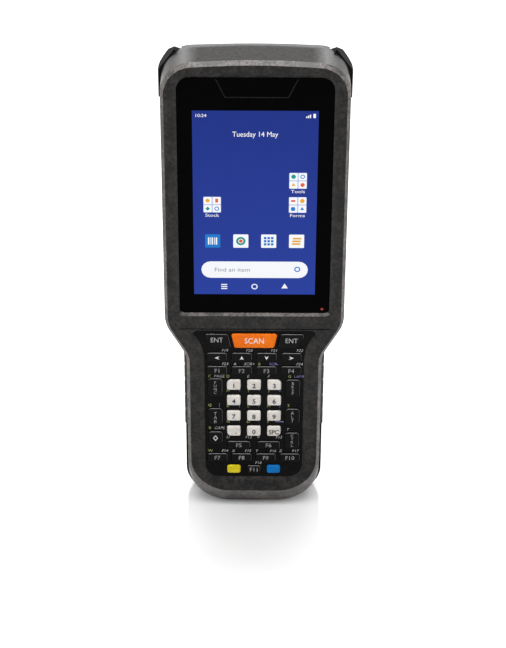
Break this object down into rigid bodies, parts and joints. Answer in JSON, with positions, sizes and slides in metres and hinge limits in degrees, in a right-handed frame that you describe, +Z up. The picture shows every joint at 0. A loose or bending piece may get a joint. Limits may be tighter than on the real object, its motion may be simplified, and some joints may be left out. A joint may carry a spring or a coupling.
{
  "type": "handheld data terminal",
  "caption": "Rugged handheld data terminal with a touch display, a full keypad in a slim grip, side scan triggers, a rear scan window and a battery door on a hinge.",
  "frame": {"origin": "centre of the foot on which it stands upright, at the bottom of its bounding box", "axes": "+Z up along the length, +Y from the front face to the back, +X to the right as seen from the front"},
  "size_m": [0.0804, 0.042, 0.2211],
  "materials": {
    "housing": "fine spark-eroded texture",
    "key_black": "satin",
    "key_ivory": "satin",
    "key_orange": "satin",
    "key_amber": "satin",
    "key_cyan": "satin",
    "cover_glass": "polished, back-printed black",
    "display": "lit panel",
    "elastomer": "matte",
    "circuit_board": "solder mask",
    "screw_steel": "black-zinc plated",
    "window_red": "polished, red filter",
    "module_black": "matte",
    "gold_contact": "gold plated",
    "battery_shell": "satin",
    "latch": "satin, ridged",
    "bumper": "matte"
  },
  "bodies": {
    "terminal": {"front_housing": "housing", "back_housing": "housing", "touch_glass": "cover_glass", "display_module": "display", "keypad_mat": "elastomer", "key_board": "circuit_board", "main_board": "circuit_board", "housing_gasket": "elastomer", "housing_screws": "screw_steel", "scan_window": "window_red", "scan_engine": "module_black", "camera_module": "module_black", "loudspeaker": "module_black", "charging_contacts": "gold_contact", "battery_pack": "battery_shell", "grip_pads": "bumper", "corner_bumpers": "bumper"},
    "battery_door": {"battery_door": "housing"},
    "battery_latch": {"battery_latch": "latch"},
    "trigger_right": {"trigger_right": "key_black"},
    "trigger_left": {"trigger_left": "key_black"},
    "power_button": {"power_button": "key_black"},
    "key_scan": {"key_scan": "key_orange"},
    "key_enter_left": {"key_enter_left": "key_black"},
    "key_enter_right": {"key_enter_right": "key_black"},
    "key_left": {"key_left": "key_black"},
    "key_up": {"key_up": "key_black"},
    "key_down": {"key_down": "key_black"},
    "key_right": {"key_right": "key_black"},
    "key_f1": {"key_f1": "key_black"},
    "key_f2": {"key_f2": "key_black"},
    "key_f3": {"key_f3": "key_black"},
    "key_f4": {"key_f4": "key_black"},
    "key_f5": {"key_f5": "key_black"},
    "key_f6": {"key_f6": "key_black"},
    "key_f7": {"key_f7": "key_black"},
    "key_f8": {"key_f8": "key_black"},
    "key_f9": {"key_f9": "key_black"},
    "key_f10": {"key_f10": "key_black"},
    "key_f11": {"key_f11": "key_black"},
    "key_0": {"key_0": "key_ivory"},
    "key_1": {"key_1": "key_ivory"},
    "key_2": {"key_2": "key_ivory"},
    "key_3": {"key_3": "key_ivory"},
    "key_4": {"key_4": "key_ivory"},
    "key_5": {"key_5": "key_ivory"},
    "key_6": {"key_6": "key_ivory"},
    "key_7": {"key_7": "key_ivory"},
    "key_8": {"key_8": "key_ivory"},
    "key_9": {"key_9": "key_ivory"},
    "key_point": {"key_point": "key_ivory"},
    "key_space": {"key_space": "key_ivory"},
    "key_function": {"key_function": "key_black"},
    "key_tab": {"key_tab": "key_black"},
    "key_home": {"key_home": "key_black"},
    "key_delete": {"key_delete": "key_black"},
    "key_alt": {"key_alt": "key_black"},
    "key_control": {"key_control": "key_black"},
    "key_yellow": {"key_yellow": "key_amber"},
    "key_blue": {"key_blue": "key_cyan"}
  },
  "joints": [
    {"name": "battery_door_hinge", "type": "hinge", "parent": "terminal", "child": "battery_door", "pos_m": [0, 0.0076, 0.108], "axis": [1, 0, 0], "range_deg": [0, 90]},
    {"name": "battery_latch_slide", "type": "slide", "parent": "battery_door", "child": "battery_latch", "axis": [0, 0, 1], "range_m": [0, 0.0025], "stiffness_N_per_m": 600},
    {"name": "trigger_right_press", "type": "slide", "parent": "terminal", "child": "trigger_right", "axis": [-1, 0, 0], "range_m": [0, 0.001], "stiffness_N_per_m": 900},
    {"name": "trigger_left_press", "type": "slide", "parent": "terminal", "child": "trigger_left", "axis": [1, 0, 0], "range_m": [0, 0.001], "stiffness_N_per_m": 900},
    {"name": "power_button_press", "type": "slide", "parent": "terminal", "child": "power_button", "axis": [-1, 0, 0], "range_m": [0, 0.0008], "stiffness_N_per_m": 700},
    {"name": "key_scan_press", "type": "slide", "parent": "terminal", "child": "key_scan", "axis": [0, 1, 0], "range_m": [0, 0.0008], "stiffness_N_per_m": 600},
    {"name": "key_enter_left_press", "type": "slide", "parent": "terminal", "child": "key_enter_left", "axis": [0, 1, 0], "range_m": [0, 0.0008], "stiffness_N_per_m": 600},
    {"name": "key_enter_right_press", "type": "slide", "parent": "terminal", "child": "key_enter_right", "axis": [0, 1, 0], "range_m": [0, 0.0008], "stiffness_N_per_m": 600},
    {"name": "key_left_press", "type": "slide", "parent": "terminal", "child": "key_left", "axis": [0, 1, 0], "range_m": [0, 0.0008], "stiffness_N_per_m": 600},
    {"name": "key_up_press", "type": "slide", "parent": "terminal", "child": "key_up", "axis": [0, 1, 0], "range_m": [0, 0.0008], "stiffness_N_per_m": 600},
    {"name": "key_down_press", "type": "slide", "parent": "terminal", "child": "key_down", "axis": [0, 1, 0], "range_m": [0, 0.0008], "stiffness_N_per_m": 600},
    {"name": "key_right_press", "type": "slide", "parent": "terminal", "child": "key_right", "axis": [0, 1, 0], "range_m": [0, 0.0008], "stiffness_N_per_m": 600},
    {"name": "key_f1_press", "type": "slide", "parent": "terminal", "child": "key_f1", "axis": [0, 1, 0], "range_m": [0, 0.0008], "stiffness_N_per_m": 600},
    {"name": "key_f2_press", "type": "slide", "parent": "terminal", "child": "key_f2", "axis": [0, 1, 0], "range_m": [0, 0.0008], "stiffness_N_per_m": 600},
    {"name": "key_f3_press", "type": "slide", "parent": "terminal", "child": "key_f3", "axis": [0, 1, 0], "range_m": [0, 0.0008], "stiffness_N_per_m": 600},
    {"name": "key_f4_press", "type": "slide", "parent": "terminal", "child": "key_f4", "axis": [0, 1, 0], "range_m": [0, 0.0008], "stiffness_N_per_m": 600},
    {"name": "key_f5_press", "type": "slide", "parent": "terminal", "child": "key_f5", "axis": [0, 1, 0], "range_m": [0, 0.0008], "stiffness_N_per_m": 600},
    {"name": "key_f6_press", "type": "slide", "parent": "terminal", "child": "key_f6", "axis": [0, 1, 0], "range_m": [0, 0.0008], "stiffness_N_per_m": 600},
    {"name": "key_f7_press", "type": "slide", "parent": "terminal", "child": "key_f7", "axis": [0, 1, 0], "range_m": [0, 0.0008], "stiffness_N_per_m": 600},
    {"name": "key_f8_press", "type": "slide", "parent": "terminal", "child": "key_f8", "axis": [0, 1, 0], "range_m": [0, 0.0008], "stiffness_N_per_m": 600},
    {"name": "key_f9_press", "type": "slide", "parent": "terminal", "child": "key_f9", "axis": [0, 1, 0], "range_m": [0, 0.0008], "stiffness_N_per_m": 600},
    {"name": "key_f10_press", "type": "slide", "parent": "terminal", "child": "key_f10", "axis": [0, 1, 0], "range_m": [0, 0.0008], "stiffness_N_per_m": 600},
    {"name": "key_f11_press", "type": "slide", "parent": "terminal", "child": "key_f11", "axis": [0, 1, 0], "range_m": [0, 0.0008], "stiffness_N_per_m": 600},
    {"name": "key_0_press", "type": "slide", "parent": "terminal", "child": "key_0", "axis": [0, 1, 0], "range_m": [0, 0.0008], "stiffness_N_per_m": 600},
    {"name": "key_1_press", "type": "slide", "parent": "terminal", "child": "key_1", "axis": [0, 1, 0], "range_m": [0, 0.0008], "stiffness_N_per_m": 600},
    {"name": "key_2_press", "type": "slide", "parent": "terminal", "child": "key_2", "axis": [0, 1, 0], "range_m": [0, 0.0008], "stiffness_N_per_m": 600},
    {"name": "key_3_press", "type": "slide", "parent": "terminal", "child": "key_3", "axis": [0, 1, 0], "range_m": [0, 0.0008], "stiffness_N_per_m": 600},
    {"name": "key_4_press", "type": "slide", "parent": "terminal", "child": "key_4", "axis": [0, 1, 0], "range_m": [0, 0.0008], "stiffness_N_per_m": 600},
    {"name": "key_5_press", "type": "slide", "parent": "terminal", "child": "key_5", "axis": [0, 1, 0], "range_m": [0, 0.0008], "stiffness_N_per_m": 600},
    {"name": "key_6_press", "type": "slide", "parent": "terminal", "child": "key_6", "axis": [0, 1, 0], "range_m": [0, 0.0008], "stiffness_N_per_m": 600},
    {"name": "key_7_press", "type": "slide", "parent": "terminal", "child": "key_7", "axis": [0, 1, 0], "range_m": [0, 0.0008], "stiffness_N_per_m": 600},
    {"name": "key_8_press", "type": "slide", "parent": "terminal", "child": "key_8", "axis": [0, 1, 0], "range_m": [0, 0.0008], "stiffness_N_per_m": 600},
    {"name": "key_9_press", "type": "slide", "parent": "terminal", "child": "key_9", "axis": [0, 1, 0], "range_m": [0, 0.0008], "stiffness_N_per_m": 600},
    {"name": "key_point_press", "type": "slide", "parent": "terminal", "child": "key_point", "axis": [0, 1, 0], "range_m": [0, 0.0008], "stiffness_N_per_m": 600},
    {"name": "key_space_press", "type": "slide", "parent": "terminal", "child": "key_space", "axis": [0, 1, 0], "range_m": [0, 0.0008], "stiffness_N_per_m": 600},
    {"name": "key_function_press", "type": "slide", "parent": "terminal", "child": "key_function", "axis": [0, 1, 0], "range_m": [0, 0.0008], "stiffness_N_per_m": 600},
    {"name": "key_tab_press", "type": "slide", "parent": "terminal", "child": "key_tab", "axis": [0, 1, 0], "range_m": [0, 0.0008], "stiffness_N_per_m": 600},
    {"name": "key_home_press", "type": "slide", "parent": "terminal", "child": "key_home", "axis": [0, 1, 0], "range_m": [0, 0.0008], "stiffness_N_per_m": 600},
    {"name": "key_delete_press", "type": "slide", "parent": "terminal", "child": "key_delete", "axis": [0, 1, 0], "range_m": [0, 0.0008], "stiffness_N_per_m": 600},
    {"name": "key_alt_press", "type": "slide", "parent": "terminal", "child": "key_alt", "axis": [0, 1, 0], "range_m": [0, 0.0008], "stiffness_N_per_m": 600},
    {"name": "key_control_press", "type": "slide", "parent": "terminal", "child": "key_control", "axis": [0, 1, 0], "range_m": [0, 0.0008], "stiffness_N_per_m": 600},
    {"name": "key_yellow_press", "type": "slide", "parent": "terminal", "child": "key_yellow", "axis": [0, 1, 0], "range_m": [0, 0.0008], "stiffness_N_per_m": 600},
    {"name": "key_blue_press", "type": "slide", "parent": "terminal", "child": "key_blue", "axis": [0, 1, 0], "range_m": [0, 0.0008], "stiffness_N_per_m": 600}
  ]
}
